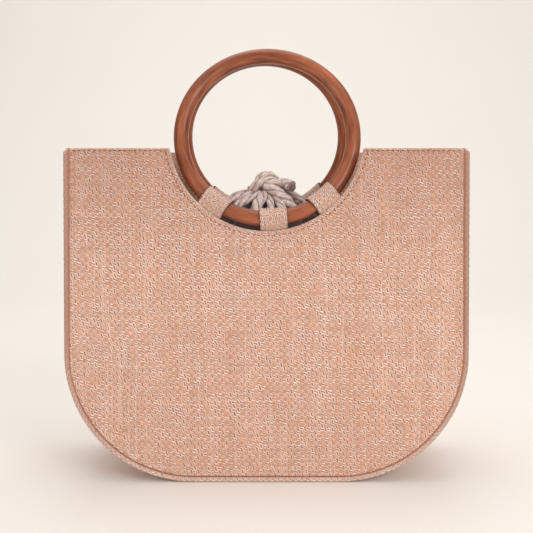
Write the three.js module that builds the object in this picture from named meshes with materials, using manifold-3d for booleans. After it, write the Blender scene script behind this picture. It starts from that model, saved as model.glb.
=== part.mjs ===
// A straw handbag with two wooden ring handles.
// Millimetres, +Z up, the front faces -Y, the origin is on the floor under the middle of the bag.
import * as THREE from 'three';
import { mergeVertices } from 'three/addons/utils/BufferGeometryUtils.js';
import Module from 'manifold-3d';

const wasm = await Module();
wasm.setup();

// Driving dimensions
const height = 270;            // floor to the straight top edges
const cornerRadius = 104;      // round bottom corners
const flatHalf = 58.8;         // half of the straight stretch of the base
const sideLean = THREE.MathUtils.degToRad(0.9);   // each side closes in towards the top
const strawWall = 2;
const gap = 0.3;               // between pieces that touch

const scoopRadius = 77.5;
const scoopDepth = 65.5;
const scoopCenterZ = height - scoopDepth + scoopRadius;

const panelOut = 54;           // middle of a panel's wall from the bag's middle plane, at the base
const panelLeanIn = 2;         // how much nearer it stands at the top
const panelCrown = 5;          // belly of a panel
const crownTop = 211;          // the belly ends at this height

const bindingWidth = 4;        // across the seam, in the panel's plane
const bindingDepth = 4.6;      // across the panel
const bindingChamfer = 1;

const gussetInset = 1.2;       // the gusset's outer face from the bag's outline
const gussetDish = 9;          // how far its sides fold in at the top

const ringRadius = 70;         // middle of the tube
const ringTube = 6.2;          // radius of the tube
const ringSides = 10;
const ringSteps = 48;

const strapWidth = 22.5;
const strapWall = 1.5;
const strapPlay = 0.55;        // between the strap's hole and the ring
const strapTuck = 9;           // how far the strap goes down behind the panel
const strapLayersGap = 0.2;    // between its two legs
const strapArcSteps = 11;
const strapSteps = 3;          // across its width

const liningWall = 1.2;
const ropeRadius = 3.8;
const ropeSides = 8;

// One row for each face of the bag: which way it looks, and where its ring hangs:
// the lowest point of the tube's middle line, and how far the ring leans in from there
const faces = [
  { name: 'front', out: -1, ringX: 0.6, ringLowOut: 50.1, ringLowZ: 214.2, ringLean: THREE.MathUtils.degToRad(18) },
  { name: 'back', out: 1, ringX: -1.2, ringLowOut: 49, ringLowZ: 213.9, ringLean: THREE.MathUtils.degToRad(17.8) },
];

// One row for each strap: where it sits on the ring, from straight down, towards +X
const straps = [
  { name: 'left', angle: THREE.MathUtils.degToRad(-36) },
  { name: 'center', angle: THREE.MathUtils.degToRad(4) },
  { name: 'right', angle: THREE.MathUtils.degToRad(40) },
];

// Rings of the gathered lining, from its hem in to its drawn mouth
const collarRows = [
  { reach: 1.00, z: 182.0, pleat: 0.0 },
  { reach: 0.86, z: 190.0, pleat: 1.2 },
  { reach: 0.70, z: 200.5, pleat: 2.4 },
  { reach: 0.52, z: 212.5, pleat: 3.2 },
  { reach: 0.32, z: 220.5, pleat: 2.8 },
  { reach: 0.13, z: 225.5, pleat: 1.2 },
];
const collarHalfWidth = 66;
const collarSquareness = 4;    // exponent of the hem's rounded rectangle
const collarSideLift = 24;     // the free side hems hang this much higher
const collarPleats = 16;
const collarStepsPerPleat = 4;

// Strands of the drawstring: each leaves the knot, bows up and comes down on the collar
const knot = { x: 0, y: -4, z: 239, strandZ: 235, halfWidth: 10, halfDepth: 8.5, halfHeight: 7 };
const strands = [
  { x: -41, y: -3, bow: 4.0 },
  { x: -33, y: -16, bow: 2.0 },
  { x: -25, y: -24, bow: 2.5 },
  { x: -8, y: -28, bow: 2.5 },
  { x: 3.5, y: -28.5, bow: 2.5 },
  { x: 16, y: -25, bow: 2.5 },
  { x: 22.5, y: -21, bow: 5.0 },
  { x: 31, y: -12, bow: 2.5 },
  { x: 26, y: 13, bow: 2.5 },
  { x: 9, y: 22, bow: 2.5 },
  { x: -9, y: 22, bow: 2.5 },
  { x: -27, y: 14, bow: 2.5 },
];
const strandSlope = THREE.MathUtils.degToRad(38);   // how steeply a strand comes down
const strandSteps = 4;
const strandBowAt = 0.55;      // where along it a strand bows most

// Loops of rope over the knot, one behind the other, and the cut end that sticks out beside them
const arches = [
  { x: -0.5, y: -11.0, topZ: 245.5 },
  { x: 1.5, y: -4.0, topZ: 249.2 },
];
const archForm = { halfSpan: 8.5, shoulder: 6, footZ: 235.5, shoulderDrop: 3.5, steps: 10 };
const stub = { fromX: 4, toX: 25, y: -3, fromZ: 239, midZ: 242, toZ: 239.6, steps: 4 };

// Stations along half of the U-shaped outline
const flatSteps = 4;
const arcSteps = 9;
const sideSteps = 6;
const cornerSplit = flatSteps + 4;   // station where a panel's base edge turns into its side edge

// Materials
const straw = new THREE.MeshStandardMaterial({ color: 0xdaad97, roughness: 0.85, metalness: 0 });
const wood = new THREE.MeshStandardMaterial({ color: 0x9b5d44, roughness: 0.3, metalness: 0 });
const lining = new THREE.MeshStandardMaterial({ color: 0x968c96, roughness: 0.9, metalness: 0 });
const rope = new THREE.MeshStandardMaterial({ color: 0xd2b9ac, roughness: 0.95, metalness: 0 });

const bag = new THREE.Group();

function addPiece(name, geometry, material) {
  const mesh = new THREE.Mesh(geometry, material);
  mesh.name = name;
  bag.add(mesh);
  return mesh;
}

// The outline

// Half of the outline, from the middle of the base to the top edge, moved in by inset:
// the straight base, the round corner, then the leaning side.
function halfOutline(inset) {
  const points = [];
  const radius = cornerRadius - inset;
  for (let i = 0; i < flatSteps; i += 1) {
    points.push(new THREE.Vector2(flatHalf * i / flatSteps, inset));
  }
  for (let i = 0; i <= arcSteps; i += 1) {
    const angle = -Math.PI / 2 + (Math.PI / 2 + sideLean) * i / arcSteps;
    points.push(new THREE.Vector2(
      flatHalf + radius * Math.cos(angle),
      cornerRadius + radius * Math.sin(angle),
    ));
  }
  const turn = points[points.length - 1].clone();
  const rise = height - turn.y;
  for (let i = 1; i <= sideSteps; i += 1) {
    const up = rise * i / sideSteps;
    points.push(new THREE.Vector2(turn.x - up * Math.tan(sideLean), turn.y + up));
  }
  return points;
}

// The whole outline from the top left, round the base, to the top right
function fullOutline(inset) {
  const half = halfOutline(inset);
  const left = half.slice(1).reverse().map((p) => new THREE.Vector2(-p.x, p.y));
  return left.concat(half);
}

// Half width of the outline at a height
function halfWidthAt(z) {
  const turnZ = cornerRadius + cornerRadius * Math.sin(sideLean);
  if (z >= turnZ) {
    return flatHalf + cornerRadius * Math.cos(sideLean) - (z - turnZ) * Math.tan(sideLean);
  }
  const drop = cornerRadius - Math.max(z, 0);
  return flatHalf + Math.sqrt(cornerRadius ** 2 - drop ** 2);
}

// How far the middle of a panel's wall stands from the bag's middle plane:
// it leans in towards the top and has a belly that dies out at the seam.
function panelStand(x, z) {
  const across = Math.min(Math.abs(x) / halfWidthAt(z), 1);
  const up = Math.min(z / crownTop, 1);
  const belly = panelCrown * (1 - across ** 2) * Math.sin(Math.PI * up);
  return panelOut - panelLeanIn * z / height + belly;
}

// Solids from grids of points

// A closed body is turned so that its faces point out
function facingOut(geometry) {
  const p = geometry.attributes.position;
  const index = geometry.index.array;
  const a = new THREE.Vector3();
  const b = new THREE.Vector3();
  const c = new THREE.Vector3();
  let volume = 0;
  for (let i = 0; i < index.length; i += 3) {
    a.fromBufferAttribute(p, index[i]);
    b.fromBufferAttribute(p, index[i + 1]);
    c.fromBufferAttribute(p, index[i + 2]);
    volume += a.dot(b.cross(c));
  }
  if (volume < 0) {
    for (let i = 0; i < index.length; i += 3) {
      [index[i + 1], index[i + 2]] = [index[i + 2], index[i + 1]];
    }
  }
  geometry.computeVertexNormals();
  return geometry;
}

function geometryFrom(points, triangles) {
  const geometry = new THREE.BufferGeometry();
  geometry.setFromPoints(points);
  geometry.setIndex(triangles);
  return facingOut(geometry);
}

// A grid of points moved along its normals, which come from the differences to its neighbours.
// With wrap the columns close into a ring.
function offsetGrid(grid, distance, wrap = false) {
  const columns = grid.length;
  const rows = grid[0].length;
  return grid.map((column, i) => column.map((point, j) => {
    const before = wrap ? (i + columns - 1) % columns : Math.max(i - 1, 0);
    const after = wrap ? (i + 1) % columns : Math.min(i + 1, columns - 1);
    const along = grid[after][j].clone().sub(grid[before][j]);
    const up = column[Math.min(j + 1, rows - 1)].clone().sub(column[Math.max(j - 1, 0)]);
    return point.clone().addScaledVector(along.cross(up).normalize(), distance);
  }));
}

// A wall between two grids of points, closed along its edges
function wall(over, under, wrap = false) {
  const columns = over.length;
  const rows = over[0].length;
  const points = over.flat().concat(under.flat());
  const at = (face, i, j) => face * columns * rows + (i % columns) * rows + j;
  const triangles = [];
  const quad = (a, b, c, d) => triangles.push(a, b, c, a, c, d);
  const spans = wrap ? columns : columns - 1;
  for (let i = 0; i < spans; i += 1) {
    for (let j = 0; j < rows - 1; j += 1) {
      quad(at(0, i, j), at(0, i + 1, j), at(0, i + 1, j + 1), at(0, i, j + 1));
      quad(at(1, i, j), at(1, i, j + 1), at(1, i + 1, j + 1), at(1, i + 1, j));
    }
    quad(at(0, i, 0), at(1, i, 0), at(1, i + 1, 0), at(0, i + 1, 0));
    quad(at(0, i, rows - 1), at(0, i + 1, rows - 1), at(1, i + 1, rows - 1), at(1, i, rows - 1));
  }
  if (!wrap) {
    const last = columns - 1;
    for (let j = 0; j < rows - 1; j += 1) {
      quad(at(0, 0, j), at(0, 0, j + 1), at(1, 0, j + 1), at(1, 0, j));
      quad(at(0, last, j), at(1, last, j), at(1, last, j + 1), at(0, last, j + 1));
    }
  }
  return geometryFrom(points, triangles);
}

// A bar: convex sections joined in order, with both ends closed
function bar(sections) {
  const sides = sections[0].length;
  const points = sections.flat();
  const triangles = [];
  for (let i = 0; i < sections.length - 1; i += 1) {
    for (let k = 0; k < sides; k += 1) {
      const next = (k + 1) % sides;
      const a = i * sides + k;
      const b = i * sides + next;
      triangles.push(a, b, b + sides, a, b + sides, a + sides);
    }
  }
  const end = (sections.length - 1) * sides;
  for (let k = 1; k < sides - 1; k += 1) {
    triangles.push(0, k + 1, k);
    triangles.push(end, end + k, end + k + 1);
  }
  return geometryFrom(points, triangles);
}

// Panels

// The top edge of a panel from left to right: a straight stretch, the scoop, a straight stretch
function topEdge(halfTop, steps) {
  const straight = 2;
  const scoopSteps = steps - 2 * straight;
  const rise = scoopCenterZ - height;
  const halfMouth = Math.sqrt(scoopRadius ** 2 - rise ** 2);
  const spread = Math.acos(rise / scoopRadius);
  const points = [];
  for (let i = 0; i < straight; i += 1) {
    points.push(new THREE.Vector2(-halfTop + (halfTop - halfMouth) * i / straight, height));
  }
  for (let i = 0; i <= scoopSteps; i += 1) {
    const angle = -spread + 2 * spread * i / scoopSteps;
    points.push(new THREE.Vector2(
      scoopRadius * Math.sin(angle),
      scoopCenterZ - scoopRadius * Math.cos(angle),
    ));
  }
  for (let i = 1; i <= straight; i += 1) {
    points.push(new THREE.Vector2(halfMouth + (halfTop - halfMouth) * i / straight, height));
  }
  return points;
}

// The panel's points are blended from its four edges: base, top and the two sides
function panelGrid(out) {
  const half = halfOutline(bindingWidth + gap);
  const mirror = (p) => new THREE.Vector2(-p.x, p.y);
  const baseRight = half.slice(0, cornerSplit + 1);
  const base = baseRight.slice(1).reverse().map(mirror).concat(baseRight);
  const right = half.slice(cornerSplit);
  const left = right.map(mirror);
  const columns = base.length - 1;
  const rows = right.length - 1;
  const top = topEdge(right[rows].x, columns);
  const grid = [];
  for (let i = 0; i <= columns; i += 1) {
    const u = i / columns;
    const column = [];
    for (let j = 0; j <= rows; j += 1) {
      const v = j / rows;
      const p = new THREE.Vector2();
      p.addScaledVector(base[i], 1 - v).addScaledVector(top[i], v);
      p.addScaledVector(left[j], 1 - u).addScaledVector(right[j], u);
      p.addScaledVector(left[0], -(1 - u) * (1 - v)).addScaledVector(right[0], -u * (1 - v));
      p.addScaledVector(left[rows], -(1 - u) * v).addScaledVector(right[rows], -u * v);
      column.push(new THREE.Vector3(p.x, out * panelStand(p.x, p.y), p.y));
    }
    grid.push(column);
  }
  return grid;
}

for (const face of faces) {
  const middle = panelGrid(face.out);
  const geometry = wall(offsetGrid(middle, strawWall / 2), offsetGrid(middle, -strawWall / 2));
  addPiece(`${face.name}_panel`, geometry, straw);
}

// Bindings

// The section is a bar with its outer corners cut off, square to the outline
function bindingSections(out) {
  const outer = fullOutline(0);
  const inner = fullOutline(bindingWidth);
  const halfDepth = bindingDepth / 2;
  const cut = bindingChamfer / bindingWidth;
  const corners = [
    { across: 0, depth: halfDepth - bindingChamfer },
    { across: cut, depth: halfDepth },
    { across: 1, depth: halfDepth },
    { across: 1, depth: -halfDepth },
    { across: cut, depth: -halfDepth },
    { across: 0, depth: -halfDepth + bindingChamfer },
  ];
  return outer.map((p, i) => corners.map((corner) => {
    const q = p.clone().lerp(inner[i], corner.across);
    const stand = panelOut - panelLeanIn * p.y / height;
    return new THREE.Vector3(q.x, out * (stand + corner.depth), q.y);
  }));
}

for (const face of faces) {
  addPiece(`${face.name}_binding`, bar(bindingSections(face.out)), straw);
}

// Gusset

// Rows run from the front binding to the back one. The sides fold in towards the top.
function gussetGrid(inset) {
  const rows = 6;
  const outer = fullOutline(inset);
  const deeper = fullOutline(inset + gussetDish);
  return outer.map((p, i) => {
    const column = [];
    const reach = panelOut - panelLeanIn * p.y / height - bindingDepth / 2 - gap;
    const fold = THREE.MathUtils.smoothstep(p.y, cornerRadius / 2, height);
    for (let j = 0; j <= rows; j += 1) {
      const across = 2 * j / rows - 1;
      const q = p.clone().lerp(deeper[i], fold * (1 - across ** 2));
      column.push(new THREE.Vector3(q.x, across * reach, q.y));
    }
    return column;
  });
}

addPiece('gusset', wall(gussetGrid(gussetInset), gussetGrid(gussetInset + strawWall)), straw);

// Rings

// Directions of a ring: up its plane, out of its front, and the middle of the ring
function ringFrame(face) {
  const up = new THREE.Vector3(0, -face.out * Math.sin(face.ringLean), Math.cos(face.ringLean));
  const front = new THREE.Vector3(0, face.out * Math.cos(face.ringLean), Math.sin(face.ringLean));
  const low = new THREE.Vector3(face.ringX, face.out * face.ringLowOut, face.ringLowZ);
  const center = low.addScaledVector(up, ringRadius);
  return { up, front, center };
}

for (const face of faces) {
  const { up, front, center } = ringFrame(face);
  const torus = new THREE.TorusGeometry(ringRadius, ringTube, ringSides, ringSteps);
  const ring = addPiece(`${face.name}_ring`, torus, wood);
  const side = new THREE.Vector3().crossVectors(up, front);
  ring.quaternion.setFromRotationMatrix(new THREE.Matrix4().makeBasis(side, up, front));
  ring.position.copy(center);
}

// Straps

// Angle of the tangent from a point to a circle round the origin, on the side that "turn" gives
function tangentAngle(point, radius, turn) {
  return Math.atan2(point.y, point.x) + turn * Math.acos(radius / point.length());
}

// An arc the long way round, between two tangents, as points
function arcPoints(radius, from, to, steps) {
  const points = [];
  for (let i = 0; i <= steps; i += 1) {
    const angle = from + (to - from) * i / steps;
    points.push(new THREE.Vector2(radius * Math.cos(angle), radius * Math.sin(angle)));
  }
  return points;
}

// The strap's own frame: x runs out from the middle of the ring, y out of the ring's front,
// z along the ring. Its two legs meet at the scoop's edge and go down behind the panel.
function strapFrame(face, angle) {
  const { up, front, center } = ringFrame(face);
  const outward = new THREE.Vector3(Math.sin(angle), 0, 0).addScaledVector(up, -Math.cos(angle));
  const middle = center.clone().addScaledVector(outward, ringRadius);
  return { outward, front, middle };
}

function strapSection(face, angle) {
  const { outward, front, middle } = strapFrame(face, angle);
  const tabHalf = strapWall + strapLayersGap / 2;
  // distance along y of this frame that brings a point to the panel's inner face
  const toPanel = (x) => {
    const point = middle.clone().addScaledVector(outward, x);
    const inner = panelStand(point.x, point.z) - strawWall / 2;
    return (face.out * (inner - gap - tabHalf) - point.y) / front.y;
  };
  // the scoop's edge, found by stepping towards its circle
  let reach = ringTube;
  for (let i = 0; i < 6; i += 1) {
    const point = middle.clone().addScaledVector(outward, reach).addScaledVector(front, toPanel(reach));
    reach += scoopRadius - Math.hypot(point.x, point.z - scoopCenterZ);
  }
  const meet = new THREE.Vector2(reach, toPanel(reach));
  const end = new THREE.Vector2(reach + strapTuck, toPanel(reach + strapTuck));
  const along = end.clone().sub(meet).normalize();
  const across = new THREE.Vector2(-along.y, along.x).multiplyScalar(tabHalf);
  const holeRadius = ringTube + strapPlay;
  const outRadius = holeRadius + strapWall;
  const over = meet.clone().add(across);
  const under = meet.clone().sub(across);
  const from = tangentAngle(over, outRadius, 1);
  const to = tangentAngle(under, outRadius, -1) + 2 * Math.PI;
  const outline = [end.clone().sub(across), end.clone().add(across), over];
  const shape = new THREE.Shape(outline.concat(arcPoints(outRadius, from, to, strapArcSteps), [under]));
  const holeFrom = tangentAngle(meet, holeRadius, 1);
  const holeTo = tangentAngle(meet, holeRadius, -1) + 2 * Math.PI;
  const hole = [meet.clone()].concat(arcPoints(holeRadius, holeFrom, holeTo, strapArcSteps));
  shape.holes.push(new THREE.Path(hole));
  return { shape, reach };
}

// The flat strap follows the bend of the ring across its width, and its legs twist
// from the leaning ring to lie flat behind the panel.
function strapGeometry(face, angle) {
  const { shape, reach } = strapSection(face, angle);
  const { outward, front } = strapFrame(face, angle);
  const twist = new THREE.Vector3().crossVectors(outward, front).y / front.y;
  const options = { depth: strapWidth, steps: strapSteps, curveSegments: 1, bevelEnabled: false };
  const geometry = new THREE.ExtrudeGeometry(shape, options);
  const p = geometry.attributes.position;
  for (let i = 0; i < p.count; i += 1) {
    const along = p.getZ(i) - strapWidth / 2;
    const bend = ringRadius - Math.sqrt(ringRadius ** 2 - along ** 2);
    const leg = THREE.MathUtils.smoothstep(p.getX(i), 0.8 * ringTube, reach);
    p.setXYZ(i, p.getX(i) - bend, p.getY(i) - twist * along * leg, along);
  }
  return geometry;
}

for (const face of faces) {
  for (const strap of straps) {
    const { outward, front, middle } = strapFrame(face, strap.angle);
    const mesh = addPiece(`${face.name}_loop_${strap.name}`, strapGeometry(face, strap.angle), straw);
    const along = new THREE.Vector3().crossVectors(outward, front);
    mesh.quaternion.setFromRotationMatrix(new THREE.Matrix4().makeBasis(outward, front, along));
    mesh.position.copy(middle);
  }
}

// Lining collar

const collarHalfDepth = panelStand(0, collarRows[0].z) - strawWall / 2 - gap;

// The collar hangs higher towards its free sides, and least so at its mouth
function sideLift(towardsSide, row) {
  return collarSideLift * towardsSide ** 4 * (1 - row / (collarRows.length - 1));
}

// A pleated tent: its hem lies inside the panels, its drawn mouth is under the knot.
function collarGrid() {
  const columns = collarPleats * collarStepsPerPleat;
  const rounded = (value) => Math.sign(value) * Math.abs(value) ** (2 / collarSquareness);
  const grid = [];
  for (let i = 0; i < columns; i += 1) {
    const turn = 2 * Math.PI * i / columns;
    const hemX = collarHalfWidth * rounded(Math.cos(turn));
    const hemY = collarHalfDepth * rounded(Math.sin(turn));
    const fold = (1 - Math.cos(collarPleats * turn)) / 2;
    grid.push(collarRows.map((row, j) => {
      const lift = sideLift(Math.cos(turn), j);
      const x = knot.x + (hemX - knot.x) * row.reach;
      const y = knot.y * (1 - row.reach) + hemY * row.reach;
      return new THREE.Vector3(x, y, row.z + lift - row.pleat * fold);
    }));
  }
  return grid;
}

// Height of the collar's crests over a point, read from its rings
function collarHeight(x, y) {
  let reach = 0.5;
  for (let i = 0; i < 6; i += 1) {
    const fromKnot = y - knot.y * (1 - reach);
    const wide = Math.abs(x / collarHalfWidth) ** collarSquareness;
    const deep = Math.abs(fromKnot / collarHalfDepth) ** collarSquareness;
    reach = (wide + deep) ** (1 / collarSquareness);
  }
  const inner = collarRows.findIndex((row) => row.reach <= reach);
  const [low, high] = [collarRows[inner - 1], collarRows[inner]];
  const part = THREE.MathUtils.inverseLerp(low.reach, high.reach, reach);
  const towardsSide = Math.abs(x / (collarHalfWidth * reach)) ** (collarSquareness / 2);
  return THREE.MathUtils.lerp(low.z, high.z, part) + sideLift(towardsSide, inner - 1 + part);
}

const collar = collarGrid();
addPiece('lining_collar', wall(collar, offsetGrid(collar, -liningWall, true), true), lining);

// Drawstring

// A rope along a curve, as a solid
function ropeSolid(points, steps) {
  const lastSide = 2 * Math.PI * (ropeSides - 1) / ropeSides;
  const section = new THREE.Shape(arcPoints(ropeRadius, 0, lastSide, ropeSides - 1));
  const path = new THREE.CatmullRomCurve3(points);
  const options = { steps, extrudePath: path, bevelEnabled: false };
  return solidFrom(new THREE.ExtrudeGeometry(section, options));
}

function solidFrom(geometry) {
  geometry.deleteAttribute('normal');
  geometry.deleteAttribute('uv');
  const merged = mergeVertices(geometry);
  return new wasm.Manifold(new wasm.Mesh({
    numProp: 3,
    vertProperties: new Float32Array(merged.attributes.position.array),
    triVerts: new Uint32Array(merged.index.array),
  }));
}

// Knot, loops over it, cut end to the right and the strands that fan out
function drawstringGeometry() {
  const core = new THREE.IcosahedronGeometry(1, 1);
  core.scale(knot.halfWidth, knot.halfDepth, knot.halfHeight);
  core.translate(knot.x, knot.y, knot.z);
  let solid = solidFrom(core);
  const heart = new THREE.Vector3(knot.x, knot.y, knot.strandZ);
  for (const strand of strands) {
    const endZ = collarHeight(strand.x, strand.y) + ropeRadius / Math.cos(strandSlope) + gap;
    const end = new THREE.Vector3(strand.x, strand.y, endZ);
    const middle = heart.clone().lerp(end, strandBowAt);
    middle.z += strand.bow;
    solid = solid.add(ropeSolid([heart, middle, end], strandSteps));
  }
  for (const arch of arches) {
    const shoulderZ = arch.topZ - archForm.shoulderDrop;
    solid = solid.add(ropeSolid([
      new THREE.Vector3(arch.x - archForm.halfSpan, arch.y, archForm.footZ),
      new THREE.Vector3(arch.x - archForm.shoulder, arch.y, shoulderZ),
      new THREE.Vector3(arch.x, arch.y, arch.topZ),
      new THREE.Vector3(arch.x + archForm.shoulder, arch.y, shoulderZ),
      new THREE.Vector3(arch.x + archForm.halfSpan, arch.y, archForm.footZ),
    ], archForm.steps));
  }
  solid = solid.add(ropeSolid([
    new THREE.Vector3(stub.fromX, stub.y, stub.fromZ),
    new THREE.Vector3((stub.fromX + stub.toX) / 2, stub.y, stub.midZ),
    new THREE.Vector3(stub.toX, stub.y, stub.toZ),
  ], stub.steps));
  const mesh = solid.getMesh();
  const geometry = new THREE.BufferGeometry();
  geometry.setAttribute('position', new THREE.BufferAttribute(mesh.vertProperties, 3));
  geometry.setIndex(new THREE.BufferAttribute(mesh.triVerts, 1));
  geometry.computeVertexNormals();
  return geometry;
}

addPiece('drawstring', drawstringGeometry(), rope);

export default bag;
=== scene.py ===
import math
import bpy
import numpy as np
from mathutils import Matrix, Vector


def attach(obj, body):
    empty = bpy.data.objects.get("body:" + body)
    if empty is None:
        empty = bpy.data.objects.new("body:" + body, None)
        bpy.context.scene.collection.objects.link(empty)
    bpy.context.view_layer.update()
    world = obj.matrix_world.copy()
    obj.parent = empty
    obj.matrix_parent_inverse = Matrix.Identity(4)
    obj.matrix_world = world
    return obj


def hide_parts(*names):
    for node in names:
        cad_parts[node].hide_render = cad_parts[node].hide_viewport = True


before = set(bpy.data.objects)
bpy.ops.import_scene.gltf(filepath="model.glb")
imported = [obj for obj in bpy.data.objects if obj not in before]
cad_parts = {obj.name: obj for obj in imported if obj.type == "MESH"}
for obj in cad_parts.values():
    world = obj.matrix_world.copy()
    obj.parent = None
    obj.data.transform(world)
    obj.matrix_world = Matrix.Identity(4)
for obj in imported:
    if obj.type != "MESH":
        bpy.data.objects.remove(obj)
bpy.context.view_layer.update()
print("frame loaded")

# Camera and light

photoView = dict(
    aim=(0.0, -0.052, 0.17606),   # the point in the middle of the picture
    distance=0.690,
    azimuth=0.0,                  # degrees, towards +x
    elevation=5.51,
    field=0.42596,                # width of the picture at the aim
    sensor=36.0, clipStart=0.01,
)


def makeCamera(view):
    # the camera stands back from the aim along the view direction and looks at it
    turn, rise = math.radians(view["azimuth"]), math.radians(view["elevation"])
    back = Vector((math.sin(turn) * math.cos(rise), -math.cos(turn) * math.cos(rise), math.sin(rise)))
    lens = bpy.data.cameras.new("photoCamera")
    lens.sensor_width = view["sensor"]
    lens.lens = view["sensor"] * view["distance"] / view["field"]
    lens.clip_start = view["clipStart"]
    camera = bpy.data.objects.new("photoCamera", lens)
    camera.location = Vector(view["aim"]) + back * view["distance"]
    camera.rotation_euler = (-back).to_track_quat("-Z", "Y").to_euler()
    bpy.context.scene.collection.objects.link(camera)
    bpy.context.scene.camera = camera


makeCamera(photoView)

studio = dict(
    worldColor=(1.0, 1.0, 1.0),
    worldStrength=0.30,
    lamps=(   # name, place, aim, size, watts
        ("keyLamp", (1.10, -1.45, 0.85), (0.0, 0.0, 0.15), 1.0, 16.2),
        ("fillLamp", (-1.15, -1.35, 0.5), (0.0, 0.0, 0.15), 1.0, 6.5),
        ("topLamp", (0.0, 0.55, 1.9), (0.0, 0.0, 0.0), 1.2, 8.0),
        ("backLamp", (0.0, 0.5, 2.4), (0.0, 1.9, 0.5), 3.0, 31.0),
    ),
)


def lightStudio(plan):
    # an even world light and square lamps; the last is aimed at the backdrop
    world = bpy.data.worlds.new("studio")
    world.use_nodes = True
    sky = world.node_tree.nodes["Background"]
    sky.inputs["Color"].default_value = (*plan["worldColor"], 1.0)
    sky.inputs["Strength"].default_value = plan["worldStrength"]
    scene = bpy.context.scene
    scene.world = world
    scene.view_settings.view_transform = "Standard"
    for name, place, aim, size, watts in plan["lamps"]:
        lamp = bpy.data.lights.new(name, "AREA")
        lamp.size, lamp.energy = size, watts
        holder = bpy.data.objects.new(name, lamp)
        holder.location = place
        holder.rotation_euler = (Vector(aim) - Vector(place)).to_track_quat("-Z", "Y").to_euler()
        scene.collection.objects.link(holder)


lightStudio(studio)
print("camera and light set")

# Surfaces from arrays. A shell is a dictionary of points (n, 3), corners (m, 4) and uv (m, 4, 2)


def cells(grid):
    # the four corners of every cell of a grid, which holds point numbers or uv
    around = np.stack([grid[:-1, :-1], grid[:-1, 1:], grid[1:, 1:], grid[1:, :-1]], 2)
    return around.reshape(-1, 4, *grid.shape[2:])


def closeRows(number):
    # each row of point numbers ends with its first point again
    return np.concatenate([number, number[:, :1]], 1)


def gridShell(points, uv, wrap=False):
    # a grid of points joined into quads; with wrap the last column joins the first,
    # and uv then has one column more than the points
    number = np.arange(points.shape[0] * points.shape[1]).reshape(points.shape[:2])
    corners = cells(closeRows(number) if wrap else number)
    return dict(points=points.reshape(-1, 3), corners=corners, uv=cells(uv))


def joinShells(shells):
    # shells one after another, with their corner numbers moved on
    starts = np.cumsum([0] + [len(s["points"]) for s in shells[:-1]])
    return dict(
        points=np.concatenate([s["points"] for s in shells]),
        corners=np.concatenate([s["corners"] + k for s, k in zip(shells, starts)]),
        uv=np.concatenate([s["uv"] for s in shells]),
    )


def addFaces(shell, corners, uv):
    # more faces after those that a shell has
    shell["corners"] = np.concatenate([shell["corners"], corners])
    shell["uv"] = np.concatenate([shell["uv"], uv])


def turnFaces(shell):
    # the corners of each face the other way round, so that it looks the other way
    shell["corners"], shell["uv"] = shell["corners"][:, ::-1], shell["uv"][:, ::-1]
    return shell


def faceOut(shell):
    # the signed volume of a closed shell is negative when its faces look in, and then they are turned
    p = shell["points"][shell["corners"]] - shell["points"].mean(0)
    volume = np.einsum("ij,ij->", p[:, 0], np.cross(p[:, 1], p[:, 2]))
    volume += np.einsum("ij,ij->", p[:, 0], np.cross(p[:, 2], p[:, 3]))
    return turnFaces(shell) if volume < 0 else shell


def slabShell(over, under, uv, wrap=False, picks=None):
    # an outer grid kept whole, an inner one turned round that keeps only the picked columns,
    # and a strip along each open edge
    rows, cols = over.shape[:2]
    picks = np.arange(cols) if picks is None else picks
    inner = turnFaces(gridShell(under[:, picks], uv if wrap else uv[:, picks], wrap))
    shell = joinShells([gridShell(over, uv, wrap), inner])
    number = np.arange(rows * cols).reshape(rows, cols)
    far = rows * cols + np.arange(rows * len(picks)).reshape(rows, -1)
    far = far[:, np.searchsorted(picks, np.arange(cols), side="right") - 1]
    edges = [np.s_[0, :], np.s_[-1, ::-1]]
    if wrap:
        number, far = closeRows(number), closeRows(far)
    else:
        edges += [np.s_[::-1, 0], np.s_[:, -1]]
    for edge in edges:
        addFaces(shell, cells(np.stack([number[edge], far[edge]])), cells(np.stack([uv[edge], uv[edge]])))
    return faceOut(shell)


def tubeShell(points, uv):
    # rings of points joined along a path, each end closed by a fan from its middle
    rows, cols = points.shape[:2]
    shell = gridShell(points, uv, wrap=True)
    ring = np.arange(cols)
    for row, order in ((0, [0, 1, 2, 2]), (rows - 1, [0, 2, 1, 1])):
        hub = np.full(cols, len(shell["points"]))
        shell["points"] = np.concatenate([shell["points"], points[row].mean(0)[None]])
        fan = np.stack([hub, row * cols + (ring + 1) % cols, row * cols + ring], 1)
        mark = np.stack([uv[row, :-1], uv[row, 1:], uv[row, :-1]], 1)
        addFaces(shell, fan[:, order], mark[:, order])
    return faceOut(shell)


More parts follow.
